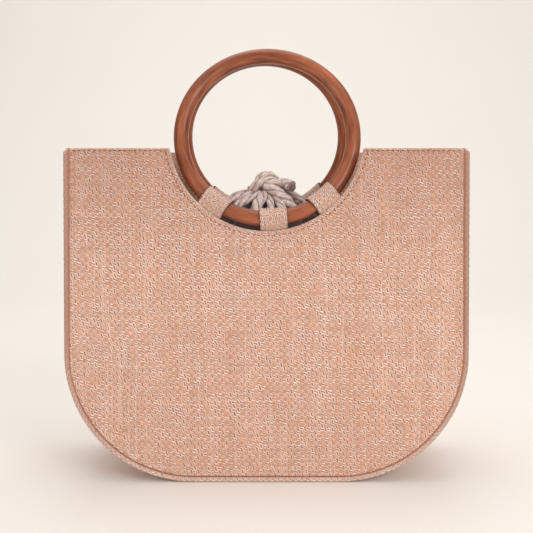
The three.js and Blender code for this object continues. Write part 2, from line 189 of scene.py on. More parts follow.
def makePiece(name, shell, material, body, nodes=(), masks=None):
    # corners that fall on one point make triangles, faces of two points are dropped
    corners, uv = shell["corners"], shell["uv"]
    same = corners == np.roll(corners, -1, axis=1)
    quads, thirds = same.sum(1) == 0, same.sum(1) == 1
    keep = ~same[thirds]
    loops = np.concatenate([corners[quads].ravel(), corners[thirds][keep]])
    marks = np.concatenate([uv[quads].reshape(-1, 2), uv[thirds][keep]])
    sizes = np.concatenate([np.full(quads.sum(), 4), np.full(thirds.sum(), 3)])
    used, loops = np.unique(loops, return_inverse=True)
    points = shell["points"][used]
    mesh = bpy.data.meshes.new(name)
    mesh.vertices.add(len(points))
    mesh.vertices.foreach_set("co", points.astype(np.float32).ravel())
    mesh.loops.add(len(loops))
    mesh.loops.foreach_set("vertex_index", loops.astype(np.int32))
    mesh.polygons.add(len(sizes))
    mesh.polygons.foreach_set("loop_start", (np.cumsum(sizes) - sizes).astype(np.int32))
    mesh.polygons.foreach_set("use_smooth", np.ones(len(sizes), bool))
    mesh.uv_layers.new(name="UVMap").data.foreach_set("uv", marks.astype(np.float32).ravel())
    for label, values in (masks or {}).items():
        layer = mesh.attributes.new(label, "FLOAT", "POINT")
        layer.data.foreach_set("value", values[used].astype(np.float32))
    mesh.update(calc_edges=True)
    mesh.validate()
    mesh.materials.append(material)
    piece = bpy.data.objects.new(name, mesh)
    bpy.context.scene.collection.objects.link(piece)
    if body:
        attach(piece, body)
        if nodes:
            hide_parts(*nodes)
    print(f"{name}: {2 * quads.sum() + thirds.sum()} triangles")
    return piece


def softNoise(u, v, seed):
    # seeded lattice values from -1 to 1, blended with a smooth step both ways
    size = 64
    table = np.random.default_rng(seed).uniform(-1.0, 1.0, (size, size))
    iu, iv = np.floor(u).astype(int), np.floor(v).astype(int)
    fu, fv = u - iu, v - iv
    fu, fv = fu * fu * (3 - 2 * fu), fv * fv * (3 - 2 * fv)
    iu, iv, nextU, nextV = iu % size, iv % size, (iu + 1) % size, (iv + 1) % size
    near = table[iu, iv] * (1 - fu) + table[nextU, iv] * fu
    far = table[iu, nextV] * (1 - fu) + table[nextU, nextV] * fu
    return near * (1 - fv) + far * fv


def smoothStep(value, low, high):
    # 0 up to low, 1 from high, and a cubic between them that starts and ends level
    t = np.clip((value - low) / (high - low), 0.0, 1.0)
    return t * t * (3 - 2 * t)


def squareOff(value, power):
    # a power of the size, with the sign kept; under 1 it makes a squarer curve of a sine and cosine
    return np.sign(value) * np.abs(value) ** power


def fullTurn(count):
    # even angles round a circle, from 0 to the full turn
    return np.arange(count + 1) / count * 2 * np.pi


def uvGrid(along, across):
    # each value along with each value across
    return np.stack(np.broadcast_arrays(along[:, None], across[None, :]), -1)


def unit(vectors):
    # each vector divided by its length
    return vectors / np.linalg.norm(vectors, axis=-1, keepdims=True)


def smoothCurve(points, place):
    # a cubic from each point to the next, with its slopes from the points beside them;
    # a place is counted in points from the first
    padded = np.concatenate([[2 * points[0] - points[1]], points, [2 * points[-1] - points[-2]]])
    i = np.minimum(place.astype(int), len(points) - 2)
    t = (place - i)[:, None]
    a, b, c, d = (padded[i + k] for k in range(4))
    bend, twist = 2 * a - 5 * b + 4 * c - d, 3 * b - a - 3 * c + d
    return 0.5 * (2 * b + (c - a) * t + bend * t ** 2 + twist * t ** 3)


def evenWalk(line, step, least=1):
    # points at even steps along a line, and how far along it each one is
    gone = np.concatenate([[0.0], np.cumsum(np.linalg.norm(np.diff(line, axis=0), axis=1))])
    s = np.linspace(0.0, gone[-1], max(int(gone[-1] / step), least) + 1)
    return np.stack([np.interp(s, gone, column) for column in line.T], 1), s


# Node helpers


def tone(red, green, blue):
    # a screen colour from 0 to 255 as linear light
    c = np.array([red, green, blue]) / 255.0
    linear = np.where(c <= 0.04045, c / 12.92, ((c + 0.055) / 1.055) ** 2.4)
    return (*(float(v) for v in linear), 1.0)


def feed(tree, socket, value):
    # a number or colour is set on the socket, an output is linked to it
    if isinstance(value, bpy.types.NodeSocket):
        tree.links.new(value, socket)
    else:
        socket.default_value = value


def feedNamed(tree, node, **values):
    # the same for sockets by their labels, with a low line for a space
    for label, value in values.items():
        feed(tree, node.inputs[label.replace("_", " ")], value)


def addNode(tree, kind, *values):
    # a node with its first sockets fed in their order
    node = tree.nodes.new("ShaderNode" + kind)
    for socket, value in zip(node.inputs, values):
        feed(tree, socket, value)
    return node


def calc(tree, operation, *values):
    # one sum of a Math node
    node = addNode(tree, "Math", *values)
    node.operation = operation
    return node.outputs[0]


def blendTones(tree, factor, a, b, mode="MIX"):
    # from the first colour to the second by a factor
    node = tree.nodes.new("ShaderNodeMix")
    node.data_type, node.blend_type = "RGBA", mode
    for socket, value in (("Factor", factor), (6, a), (7, b)):   # A and B name other sockets too
        feed(tree, node.inputs[socket], value)
    return node.outputs[2]


def remap(tree, value, low, high, toLow, toHigh):
    # low to high becomes toLow to toHigh, and stops there
    return addNode(tree, "MapRange", value, low, high, toLow, toHigh).outputs[0]


def joinXyz(tree, x, y, z):
    return addNode(tree, "CombineXYZ", x, y, z).outputs[0]


def splitXyz(tree, vector):
    return addNode(tree, "SeparateXYZ", vector).outputs


def cloud(tree, vector, scale, detail=2.0, roughness=0.5, w=None):
    # soft noise, with a fourth direction where w is given
    node = tree.nodes.new("ShaderNodeTexNoise")
    node.noise_dimensions = "3D" if w is None else "4D"
    feedNamed(tree, node, Vector=vector, Scale=scale, Detail=detail, Roughness=roughness)
    if w is not None:
        feedNamed(tree, node, W=w)
    return node.outputs["Fac"]


def chance(tree, x, y, z):
    # an even random number for each whole-number place
    node = tree.nodes.new("ShaderNodeTexWhiteNoise")
    node.noise_dimensions = "3D"
    feedNamed(tree, node, Vector=joinXyz(tree, x, y, z))
    return node.outputs["Value"]


def newGroup(name, inputs, outputs):
    # a group with sockets of the given labels and kinds
    group = bpy.data.node_groups.new(name, "ShaderNodeTree")
    for direction, sockets in (("INPUT", inputs), ("OUTPUT", outputs)):
        for label, kind in sockets.items():
            group.interface.new_socket(label, in_out=direction, socket_type="NodeSocket" + kind)
    return group, group.nodes.new("NodeGroupInput").outputs, group.nodes.new("NodeGroupOutput").inputs


def placeGroup(tree, group, **values):
    node = tree.nodes.new("ShaderNodeGroup")
    node.node_tree = group
    feedNamed(tree, node, **values)
    return node.outputs


def newMaterial(name, **sockets):
    # a material with some of its shader's sockets set
    material = bpy.data.materials.new(name)
    material.use_nodes = True
    tree = material.node_tree
    shader = tree.nodes["Principled BSDF"]
    feedNamed(tree, shader, **sockets)
    return material, tree, shader.inputs


def bump(tree, height, strength, distance, socket):
    node = tree.nodes.new("ShaderNodeBump")
    feedNamed(tree, node, Strength=strength, Distance=distance, Height=height)
    feed(tree, socket, node.outputs["Normal"])


def surfaceUv(tree):
    return tree.nodes.new("ShaderNodeTexCoord").outputs["UV"]


def surfaceMask(tree, label):
    # a mask that the piece's mesh carries
    node = tree.nodes.new("ShaderNodeAttribute")
    node.attribute_name = label
    return node.outputs["Fac"]


# Shared effects

weaveLook = dict(
    strands=3.0, slant=0.33,             # strands in a float, and their slant, as straw is twisted
    outerFleck=0.75, middleFleck=-1.5,   # the middle strand is darker, the outer two paler
    floatRun=1.0, hueRun=7.0, toneRun=14.0, streakRun=18.0,   # for how many floats a chance holds
    stagger=0.37,                        # the next strand's run starts later by this share of it
    areaScale=34.0, areaPull=1.2, columnScale=60.0,
    shadePowers=(1.0, 1.15, 1.3),        # painted shade and darker tones are warmed, like light bounced in straw
    archHeight=0.2,
)


def makeWeaveGroup(look):
    # cells take turns to show a pale float that runs across and one that runs up, which lies deeper and is
    # darkened with painted shade;
    # each float is a few slanted strands with tones of their own, and some threads keep one tone for long.
    # The numbers given to a chance beside its place keep one chance apart from another
    group, given, out = newGroup(
        "strawWeave",
        dict(
            place="Vector", cellWidth="Float", cellHeight="Float",
            pale="Color", middle="Color", deep="Color", warm="Color", cool="Color",
        ),
        dict(color="Color", height="Float", gloss="Float"),
    )

    def do(operation, *values):
        return calc(group, operation, *values)

    x, y, _ = splitXyz(group, given["place"])
    u, v = do("DIVIDE", x, given["cellWidth"]), do("DIVIDE", y, given["cellHeight"])
    cellU, cellV = do("ROUND", u), do("ROUND", v)
    partU, partV = do("SUBTRACT", u, cellU), do("SUBTRACT", v, cellV)
    turn = do("FLOORED_MODULO", do("ADD", cellU, cellV), 2.0)

    def either(up, across):   # the first where the float runs up, the second where it runs across
        return do("MULTIPLY_ADD", do("SUBTRACT", across, up), turn, up)

    def wave(part):
        return do("COSINE", do("MULTIPLY", part, math.pi))

    along, across = either(partV, partU), either(partU, partV)
    thread, step = either(cellU, cellV), either(cellV, cellU)
    kind = do("MULTIPLY", turn, 31.7)
    slanted = do("MULTIPLY_ADD", along, look["slant"], across)
    strand = do("MULTIPLY", do("ADD", slanted, 0.5), look["strands"])
    strandCell = do("FLOOR", strand)
    strandName = do("MULTIPLY_ADD", thread, look["strands"], strandCell)
    strandArch = wave(do("SUBTRACT", do("SUBTRACT", strand, strandCell), 0.5))

    def luck(name, salt, run):   # one chance for each run of so many floats along a strand
        shift = do("MULTIPLY", name, look["stagger"])
        stretch = do("FLOOR", do("MULTIPLY_ADD", step, 1.0 / run, shift))
        return chance(group, name, do("ADD", kind, salt), stretch)

    def streak(place, run, salt):   # one chance for each long stretch of one strand's width
        name = do("FLOOR", do("MULTIPLY", place, look["strands"]))
        stretch = do("MULTIPLY_ADD", name, look["stagger"], do("DIVIDE", run, look["streakRun"]))
        return chance(group, name, salt, do("FLOOR", stretch))

    unlike = chance(group, thread, do("ADD", kind, 3.1), step)
    inMiddle = do("COMPARE", strandCell, 1.0, 0.1)
    fleckShare = do("MULTIPLY_ADD", inMiddle, look["middleFleck"] - look["outerFleck"], look["outerFleck"])
    fleck = do("MULTIPLY", unlike, fleckShare)
    floatLuck, strandLuck = luck(thread, 9.4, look["floatRun"]), luck(strandName, 11.9, look["toneRun"])
    hue = luck(strandName, 5.7, look["hueRun"])
    columnLuck, rowLuck = streak(u, v, 17.3), streak(v, u, 23.9)
    area = cloud(group, given["place"], look["areaScale"], 3.0, 0.6)
    warmth = do("ADD", hue, do("MULTIPLY_ADD", area, look["areaPull"], -0.5 * look["areaPull"]))
    columns = cloud(group, joinXyz(group, x, 0.0, 0.7), look["columnScale"])
    corner = do("ABSOLUTE", do("MULTIPLY", do("MULTIPLY", partU, partV), 4.0))

    color = given["middle"]
    for value, low, high, share, label in (
        (warmth, 0.5, 1.0, 0.8, "cool"), (warmth, 0.5, 0.0, 0.8, "warm"),
        (fleck, 0.0, 1.5, 1.1, "pale"), (fleck, 0.0, -1.5, 0.8, "deep"),
        (columnLuck, 0.93, 0.96, 0.17, "pale"), (columnLuck, 0.07, 0.04, 0.6, "warm"),
        (rowLuck, 0.94, 0.97, 0.13, "pale"),
    ):
        color = blendTones(group, remap(group, value, low, high, 0.0, share), color, given[label])
    # painted shade: the upright floats, which lie deeper, the cell corners, the float ends where they dive
    # and each strand's rounded sides are darker; the strand, float and column chances are random tone
    paintedShadeAndTone = remap(group, turn, 0.0, 1.0, 0.92, 1.08)
    for value, low, high, toLow, toHigh in (
        (corner, 0.5, 1.0, 1.0, 0.82), (wave(along), 0.0, 0.7, 0.86, 1.03),
        (strandArch, 0.0, 0.6, 0.9, 1.0), (strandLuck, 0.0, 1.0, 0.91, 1.09),
        (floatLuck, 0.0, 1.0, 0.94, 1.06), (columns, 0.3, 0.7, 0.97, 1.03),
    ):
        paintedShadeAndTone = do("MULTIPLY", paintedShadeAndTone, remap(group, value, low, high, toLow, toHigh))
    warmedShadeAndTone = joinXyz(group, *(do("POWER", paintedShadeAndTone, power) for power in look["shadePowers"]))
    hump = do("MULTIPLY", wave(along), remap(group, wave(across), 0.0, 0.6, 0.45, 1.0))
    hump = do("MULTIPLY", hump, remap(group, turn, 0.0, 1.0, 0.6, 1.0))
    feed(group, out["color"], blendTones(group, 1.0, color, warmedShadeAndTone, "MULTIPLY"))
    feed(group, out["height"], do("MULTIPLY_ADD", strandArch, look["archHeight"], hump))
    feed(group, out["gloss"], remap(group, strandLuck, 0.0, 1.0, 0.78, 0.55))
    return group


def makeFibreGroup():
    # fine hairs along the first direction: noise drawn out along it, with a coarser cloud under it
    group, given, out = newGroup(
        "fineFibre", dict(place="Vector", along="Float", across="Float"),
        dict(hairs="Float", cloud="Float"),
    )
    x, y, z = splitXyz(group, given["place"])
    sizes = zip((x, y, z), (given["along"], given["across"], given["across"]))
    stretched = joinXyz(group, *(calc(group, "MULTIPLY", place, size) for place, size in sizes))
    feed(group, out["hairs"], cloud(group, stretched, 1.0, 3.0, 0.6))
    feed(group, out["cloud"], cloud(group, given["place"], 90.0))
    return group


weaveGroup = makeWeaveGroup(weaveLook)
fibreGroup = makeFibreGroup()

# Finishes

strawFinish = dict(
    cellWidth=0.00286, cellHeight=0.00302, fineCell=0.0024,
    bumpStrength=0.8, bumpDepth=0.0005, paintedShadeBrown=tone(136, 85, 62),
)
strawLipAndPaintedShade = dict(   # from where to where, and the share of the mark's tone at each: pale at the lip, painted shade in the others
    lip=(0.0002, 0.0012, 0.4, 0.0),     # in from a panel's top edge
    groove=(0.0002, 0.0010, 0.1, 0.0),  # in from its seam: painted shade in the groove
    top=(0.17, 0.27, 0.0, 0.31),        # up a panel: painted shade towards the top
    sides=(0.10, 0.25, 0.0, 0.75),      # along a binding from the middle of the base: painted shade up its sides
    fold=(0.0002, 0.0011, 0.9, 0.0),    # in from a strap's edge: painted shade at the fold
)


def makeStraw(name, tones, fine=False, edges=False, sides=False, halfWidth=None):
    # the shared weave; on a panel the lip of its top edge is paler, and painted shade darkens the seam's
    # groove and the straw towards the top, as it darkens a binding up the sides
    # and a strap along its folded edges
    material, tree, shader = newMaterial(name, Specular_IOR_Level=0.3, Sheen_Weight=0.06)
    place = surfaceUv(tree)
    x, y, _ = splitXyz(tree, place)
    wide, high = strawFinish["cellWidth"], strawFinish["cellHeight"]
    if fine:
        wide = high = strawFinish["fineCell"]
    weave = placeGroup(tree, weaveGroup, place=place, cellWidth=wide, cellHeight=high, **tones)
    # the pale lip, then the painted shade, each blended over the weave
    worn = []
    if edges:
        worn += [
            (surfaceMask(tree, "topDistance"), "lip", tones["pale"]),
            (surfaceMask(tree, "seamDistance"), "groove", strawFinish["paintedShadeBrown"]),
            (y, "top", strawFinish["paintedShadeBrown"]),
        ]
    if sides:
        worn.append((calc(tree, "ABSOLUTE", x), "sides", tones["deep"]))
    if halfWidth:
        inFromEdge = calc(tree, "SUBTRACT", halfWidth, calc(tree, "ABSOLUTE", y))
        worn.append((inFromEdge, "fold", tones["deep"]))
    color = weave["color"]
    for value, label, shadeAndLipTone in worn:
        color = blendTones(tree, remap(tree, value, *strawLipAndPaintedShade[label]), color, shadeAndLipTone)
    feed(tree, shader["Base Color"], color)
    feed(tree, shader["Roughness"], weave["gloss"])
    bump(tree, weave["height"], strawFinish["bumpStrength"], strawFinish["bumpDepth"], shader["Normal"])
    return material


panelTones = dict(
    pale=tone(255, 238, 226), middle=tone(217, 167, 142), deep=tone(154, 86, 59),
    warm=tone(221, 162, 132), cool=tone(218, 178, 158),
)
trimTones = dict(
    pale=tone(250, 228, 215), middle=tone(222, 184, 166), deep=tone(170, 122, 101),
    warm=tone(222, 172, 149), cool=tone(217, 191, 174),
)
panelStraw = makeStraw("panelStraw", panelTones, edges=True)
gussetStraw = makeStraw("gussetStraw", panelTones)
# sides adds painted shade up the binding's sides
trimStraw = makeStraw("trimStraw", trimTones, fine=True, sides=True)

woodFinish = dict(
    dark=tone(116, 59, 37), light=tone(183, 103, 65), streak=tone(74, 34, 22),
    broad=(2.6, 1.6), fine=(5.0, 9.0),   # size of the noise's circles, round the ring and round its stock
)


def makeWood(look):
    # turned wood under varnish: long streaks round the ring, from noise on its two circles
    material, tree, shader = newMaterial(
        "varnishedWood", Specular_IOR_Level=0.28, Coat_Weight=0.2, Coat_Roughness=0.12,
    )
    u, v, _ = splitXyz(tree, surfaceUv(tree))

    def circle(part, size):
        angle = calc(tree, "MULTIPLY", part, 2 * math.pi)
        return (calc(tree, "MULTIPLY", calc(tree, way, angle), size) for way in ("COSINE", "SINE"))

    def grain(longSize, crossSize):
        crossX, crossY = circle(v, crossSize)
        return cloud(tree, joinXyz(tree, *circle(u, longSize), crossX), 1.0, 3.0, 0.55, crossY)

    broad, fine = grain(*look["broad"]), grain(*look["fine"])
    color = blendTones(tree, remap(tree, broad, 0.3, 0.7, 0.0, 1.0), look["dark"], look["light"])
    color = blendTones(tree, remap(tree, fine, 0.52, 0.74, 0.0, 0.75), color, look["streak"])
    feed(tree, shader["Base Color"], color)
    feed(tree, shader["Roughness"], remap(tree, fine, 0.3, 0.8, 0.32, 0.48))
    bump(tree, fine, 0.12, 0.0003, shader["Normal"])
    return material


ropeFinish = dict(
    light=tone(241, 222, 213), dark=tone(219, 191, 180), cut=tone(124, 94, 88),
    girth=0.02,   # width that one turn round it has for its hairs
)


def makeRope(look):
    # soft cotton: painted shade in the lay lines between the plies, hairs along each ply, a dark cut end
    material, tree, shader = newMaterial(
        "cottonRope", Roughness=0.92, Specular_IOR_Level=0.15, Sheen_Weight=0.3,
    )
    u, v, _ = splitXyz(tree, surfaceUv(tree))
    lay = calc(tree, "ABSOLUTE", calc(tree, "COSINE", calc(tree, "MULTIPLY", v, 3 * math.pi)))
    place = joinXyz(tree, u, calc(tree, "MULTIPLY", v, look["girth"]), 0.0)
    fibre = placeGroup(tree, fibreGroup, place=place, along=240.0, across=1000.0)
    creaseShade = remap(tree, lay, 0.0, 0.55, 0.5, 1.0)
    paintedShadeAndTone = calc(tree, "MULTIPLY", creaseShade, remap(tree, fibre["hairs"], 0.36, 0.62, 0.55, 1.2))
    color = blendTones(tree, fibre["cloud"], look["light"], look["dark"])
    color = blendTones(tree, 1.0, color, joinXyz(tree, paintedShadeAndTone, paintedShadeAndTone, paintedShadeAndTone), "MULTIPLY")
    color = blendTones(tree, surfaceMask(tree, "cutFace"), color, look["cut"])
    feed(tree, shader["Base Color"], color)
    bump(tree, calc(tree, "MULTIPLY_ADD", fibre["hairs"], 1.6, lay), 0.7, 0.0005, shader["Normal"])
    return material


liningFinish = dict(
    dark=tone(150, 140, 152), light=tone(186, 177, 187), worn=tone(172, 162, 168),
    deep=tone(78, 60, 52), paintedShadeUntil=(0.046, 0.058),   # painted shade, full up to the first of these metres up the slope from the hem, gone by the second
    threads=9000.0,
)


def makeLining(look):
    # plain cotton: a fine thread grid and soft cloudy wear, and painted shade, dark brown, deep down
    # towards its hem
    material, tree, shader = newMaterial(
        "liningCloth", Roughness=0.92, Specular_IOR_Level=0.15, Sheen_Weight=0.2,
    )
    uv = surfaceUv(tree)
    u, v, _ = splitXyz(tree, uv)
    waves = (calc(tree, "SINE", calc(tree, "MULTIPLY", place, look["threads"])) for place in (u, v))
    fibre = placeGroup(tree, fibreGroup, place=uv, along=500.0, across=1400.0)
    color = blendTones(tree, fibre["hairs"], look["dark"], look["light"])
    color = blendTones(tree, remap(tree, fibre["cloud"], 0.35, 0.7, 0.0, 0.5), color, look["worn"])
    # painted shade on the lining low down towards the hem, under the ring
    color = blendTones(tree, remap(tree, u, *look["paintedShadeUntil"], 0.9, 0.0), color, look["deep"])
    feed(tree, shader["Base Color"], color)
    threads = calc(tree, "MULTIPLY", *waves)
    bump(tree, calc(tree, "ADD", threads, fibre["hairs"]), 0.35, 0.0002, shader["Normal"])
    return material


def makeThread(name, dark, light):
    # brown sewing thread: fibres along it vary its brown
    material, tree, shader = newMaterial(name, Roughness=0.7, Specular_IOR_Level=0.3)
    fibre = placeGroup(tree, fibreGroup, place=surfaceUv(tree), along=300.0, across=3000.0)
    feed(tree, shader["Base Color"], blendTones(tree, fibre["hairs"], dark, light))
    bump(tree, fibre["hairs"], 0.4, 0.0002, shader["Normal"])
    return material


def makeFloor(dark, light):
    # pale paper, with a faint cloud so that it isn't one flat tone
    material, tree, shader = newMaterial("paleFloor", Roughness=0.95, Specular_IOR_Level=0.1)
    place = tree.nodes.new("ShaderNodeTexCoord").outputs["Object"]
    feed(tree, shader["Base Color"], blendTones(tree, cloud(tree, place, 2.0), dark, light))
    return material


wood, rope, lining = makeWood(woodFinish), makeRope(ropeFinish), makeLining(liningFinish)
stitchThread = makeThread("stitchThread", tone(104, 58, 42), tone(150, 92, 70))
seamThread = makeThread("seamThread", tone(170, 110, 85), tone(212, 151, 123))
paper = makeFloor(tone(243, 237, 230), tone(247, 242, 235))
print("finishes made")

# Backdrop

backdrop = dict(
    halfWidth=3.0, nearY=-2.5, bendY=1.1, bendRadius=0.9, top=2.6, drop=0.0002, bendSteps=24, columns=9,
)


def backdropShell(form):
    # a floor that turns up into a wall on a quarter circle, carried sideways
    turn = np.linspace(0, math.pi / 2, form["bendSteps"])
    r = form["bendRadius"]
    y = np.concatenate([[form["nearY"]], form["bendY"] + r * np.sin(turn), [form["bendY"] + r]])
    z = np.concatenate([[0.0], r - r * np.cos(turn), [form["top"]]]) - form["drop"]
    x = np.linspace(-form["halfWidth"], form["halfWidth"], form["columns"])
    points = np.stack(np.broadcast_arrays(x[None, :], y[:, None], z[:, None]), -1)
    return gridShell(points, points[:, :, :2])


floor = makePiece("floor", backdropShell(backdrop), paper, None)

# The bag's outline

bag = dict(
    height=0.270, cornerRadius=0.104, flatHalf=0.0588, sideLean=math.radians(0.9),
    scoopRadius=0.0775, scoopDepth=0.0655,
    wall=0.002,
    panelOut=0.054, leanIn=0.002, crown=0.005, crownTop=0.211,   # the middle of a panel's wall
    cornerDrop=0.0018, cornerRun=0.011,                          # the top edge sinks a little at its ends
)
scoopZ = bag["height"] - bag["scoopDepth"] + bag["scoopRadius"]
halfMouth = math.sqrt(bag["scoopRadius"] ** 2 - (scoopZ - bag["height"]) ** 2)
scoopSpread = math.acos((scoopZ - bag["height"]) / bag["scoopRadius"])
faces = (   # which way each looks, the lowest point of its ring's middle line, and the ring's lean
    dict(name="front", out=-1.0, ringX=0.0006, ringOut=0.0501, ringZ=0.2142, ringLean=math.radians(18.0)),
    dict(name="back", out=1.0, ringX=-0.0012, ringOut=0.0490, ringZ=0.2139, ringLean=math.radians(17.8)),
)


def cornerTurn(inset):
    # where the round corner passes into the leaning side
    r, lean = bag["cornerRadius"] - inset, bag["sideLean"]
    return bag["flatHalf"] + r * math.cos(lean), bag["cornerRadius"] + r * math.sin(lean)


def sideReach(z, inset=0.0):
    # half width at a height: the corner's circle, then the straight leaning side
    r = bag["cornerRadius"] - inset
    turnX, turnZ = cornerTurn(inset)
    drop = np.clip(bag["cornerRadius"] - z, -r, r)
    onCorner = bag["flatHalf"] + np.sqrt(r * r - drop * drop)
    return np.where(z >= turnZ, turnX - (z - turnZ) * math.tan(bag["sideLean"]), onCorner)


def cornerRise(x, inset):
    # how far the corner's circle stands above or below its middle over x
    r = bag["cornerRadius"] - inset
    over = np.clip(np.abs(x) - bag["flatHalf"], 0.0, r)
    return np.sqrt(r * r - over * over)


def lowEdge(x, inset):
    # height of the lower outline over x: the flat base, then the corner's circle
    return bag["cornerRadius"] - cornerRise(x, inset)


def endSink(x):
    # the straight top edge sinks in a parabola over its last stretch
    start = float(sideReach(bag["height"])) - bag["cornerRun"]
    return bag["cornerDrop"] * np.clip((np.abs(x) - start) / bag["cornerRun"], 0.0, 1.0) ** 2


def highEdge(x, inset):
    # height of the upper outline over x: the side, the straight top edge or the scoop, whichever is lowest
    turnX, turnZ = cornerTurn(inset)
    ax = np.abs(x)
    onCorner = bag["cornerRadius"] + cornerRise(x, inset)
    onSide = turnZ + (turnX - ax) / math.tan(bag["sideLean"])
    top = np.minimum(np.where(ax > turnX, onCorner, onSide), bag["height"] - endSink(x))
    scoop = scoopZ - np.sqrt(np.maximum(bag["scoopRadius"] ** 2 - x * x, 0.0))
    return np.where(ax < halfMouth, np.minimum(scoop, top), top)


def seamStand(z):
    # how far out the middle of the wall stands at the seam: it leans in towards the top
    return bag["panelOut"] - bag["leanIn"] * z / bag["height"]


def panelStand(x, z):
    # the leaning wall, with a belly that dies out at the seam
    across = np.minimum(np.abs(x) / sideReach(z), 1.0)
    up = np.clip(z / bag["crownTop"], 0.0, 1.0)
    return seamStand(z) + bag["crown"] * (1 - across ** 2) * np.sin(np.pi * up)


def outlineLength(inset):
    # from the middle of the base: the flat, the corner's arc and the straight side
    turnZ = cornerTurn(inset)[1]
    corner = (bag["cornerRadius"] - inset) * (math.pi / 2 + bag["sideLean"])
    return bag["flatHalf"] + corner + (bag["height"] - turnZ) / math.cos(bag["sideLean"])


def outlineAt(s, inset):
    # the point of the outline s metres from the middle of the base, and the way in from it, as columns
    r, lean = bag["cornerRadius"] - inset, bag["sideLean"]
    s = s[:, None]
    a = np.abs(s)
    cornerEnd = bag["flatHalf"] + r * (math.pi / 2 + lean)
    angle = np.clip((a - bag["flatHalf"]) / r, 0.0, math.pi / 2 + lean) - math.pi / 2
    up = np.maximum(a - cornerEnd, 0.0)
    flat = a < bag["flatHalf"]
    x = np.where(flat, a, bag["flatHalf"] + r * np.cos(angle)) - up * math.sin(lean)
    z = bag["cornerRadius"] + r * np.sin(angle) + up * math.cos(lean)
    side = np.where(s < 0, -1.0, 1.0)
    return x * side, z, -np.cos(angle) * side, -np.sin(angle)


def carryIn(outline, depth, y):
    # points a depth in from the outline
    x, z, inX, inZ = outline
    return np.stack([x + inX * depth, y, z + inZ * depth], -1)


# Weave in relief

weaveForm = dict(
    relief=0.00042, upright=0.45, unevenness=0.4, patch=0.83, samples=3,
    shoulder=0.2, shoulderPower=5,   # a float falls by this share at its edges, and how late
    slow=0.0015, slowSize=0.05, quick=0.0006, quickSize=0.011,
)
stepAcross = strawFinish["cellWidth"] / weaveForm["samples"]
stepUp = strawFinish["cellHeight"] / weaveForm["samples"]


def weavePlace(x, z, seed):
    # the threads wander: a slow and a quick soft noise move the pattern by a part of a cell
    def shift(k):
        slow = softNoise(x / weaveForm["slowSize"], z / weaveForm["slowSize"], seed + k)
        quick = softNoise(x / weaveForm["quickSize"], z / weaveForm["quickSize"], seed + k + 1)
        return weaveForm["slow"] * slow + weaveForm["quick"] * quick

    return x + shift(100), z + shift(200)


def weaveRelief(u, v, seed):
    # a float is an arch along its run, nearly flat across, and dives where its neighbours pass over it
    u, v = u / strawFinish["cellWidth"], v / strawFinish["cellHeight"]
    iu, iv = np.rint(u), np.rint(v)
    upright = np.mod(iu + iv, 2) < 0.5
    along = np.where(upright, v - iv, u - iu)
    across = np.where(upright, u - iu, v - iv)
    edge = weaveForm["shoulder"] * np.abs(2 * across) ** weaveForm["shoulderPower"]
    arch = np.cos(np.pi * along) * (1 - edge) * np.where(upright, weaveForm["upright"], 1.0)
    uneven = 1 + weaveForm["unevenness"] * softNoise(iu * weaveForm["patch"], iv * weaveForm["patch"], seed)
    return weaveForm["relief"] * (arch * uneven - 0.5)


# Panels

panelForm = dict(
    seamInset=0.0043,     # the panel starts here, inside the binding
    edgeRoll=0.0011,      # its edges roll off on this radius
    swell=0.0005, swellSize=(0.035, 0.045), swellStart=40, calm=0.02,   # slow unevenness, none at the edges
    hemWidth=0.0029, hemStep=0.0006, hemLift=0.0005,   # the folded hem of the top edge stands proud
    sideBand=0.006, sideColumns=44,
    innerRows=10,
)


def edgeDistance(x, z, inset):
    # how far a point lies inside the seam and inside the top edge or scoop
    ax, r = np.abs(x), bag["cornerRadius"] - inset
    corner = r - np.hypot(np.maximum(ax - bag["flatHalf"], 0.0), np.minimum(z - bag["cornerRadius"], 0.0))
    side = (sideReach(z, inset) - ax) * math.cos(bag["sideLean"])
    seam = np.where(z < bag["cornerRadius"], corner, side)
    top = np.minimum(bag["height"] - endSink(x) - z, np.hypot(x, z - scoopZ) - bag["scoopRadius"])
    return np.maximum(seam, 0.0), np.maximum(top, 0.0)


